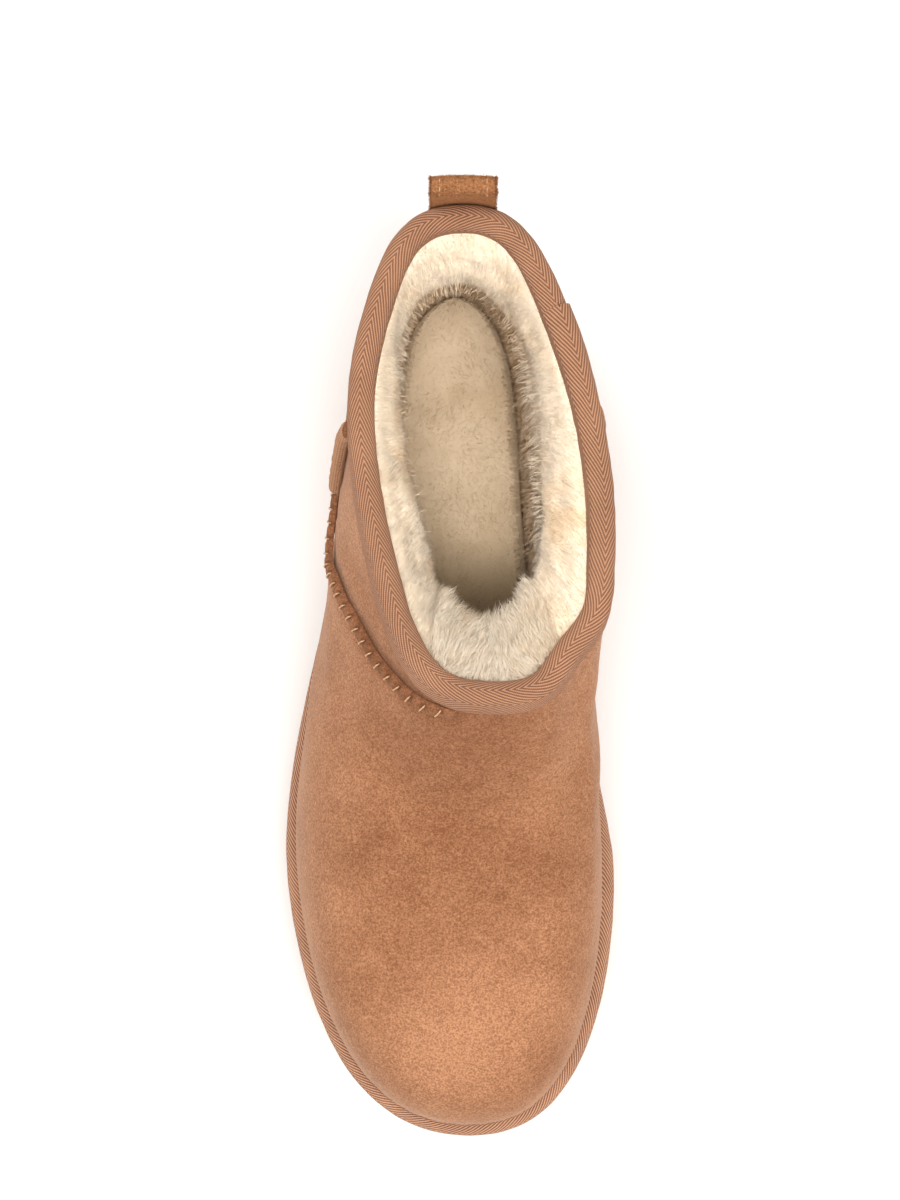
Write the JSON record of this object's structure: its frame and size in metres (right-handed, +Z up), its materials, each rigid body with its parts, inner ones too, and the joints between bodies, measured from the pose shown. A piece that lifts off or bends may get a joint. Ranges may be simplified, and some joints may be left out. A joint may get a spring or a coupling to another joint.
{
  "type": "sheepskin ankle boot",
  "caption": "Low sheepskin ankle boot for the right foot: suede outside, fleece inside, taped collar, raised seams, heel pull loop and a platform sole with a wavy tread.",
  "frame": {"origin": "middle of the boot's box on the floor it stands on", "axes": "+Z up, -Y towards the toe, +X towards the big-toe side"},
  "size_m": [0.1029, 0.28, 0.1641],
  "materials": {
    "suede": "napped",
    "woven_tape": "herringbone twill",
    "fleece": "woolly pile",
    "seam_thread": "overlocked thread",
    "outsole_foam": "matte",
    "midsole_foam": "matte"
  },
  "bodies": {
    "root": {"outsole": "outsole_foam", "midsole": "midsole_foam", "sole_tape": "woven_tape", "insole": "fleece", "upper": "suede", "fleece_lining": "fleece", "collar_binding": "woven_tape", "vamp_seam_outer": "seam_thread", "vamp_seam_inner": "seam_thread", "side_seam_outer": "seam_thread", "side_seam_inner": "seam_thread", "pull_loop": "suede"}
  },
  "joints": []
}
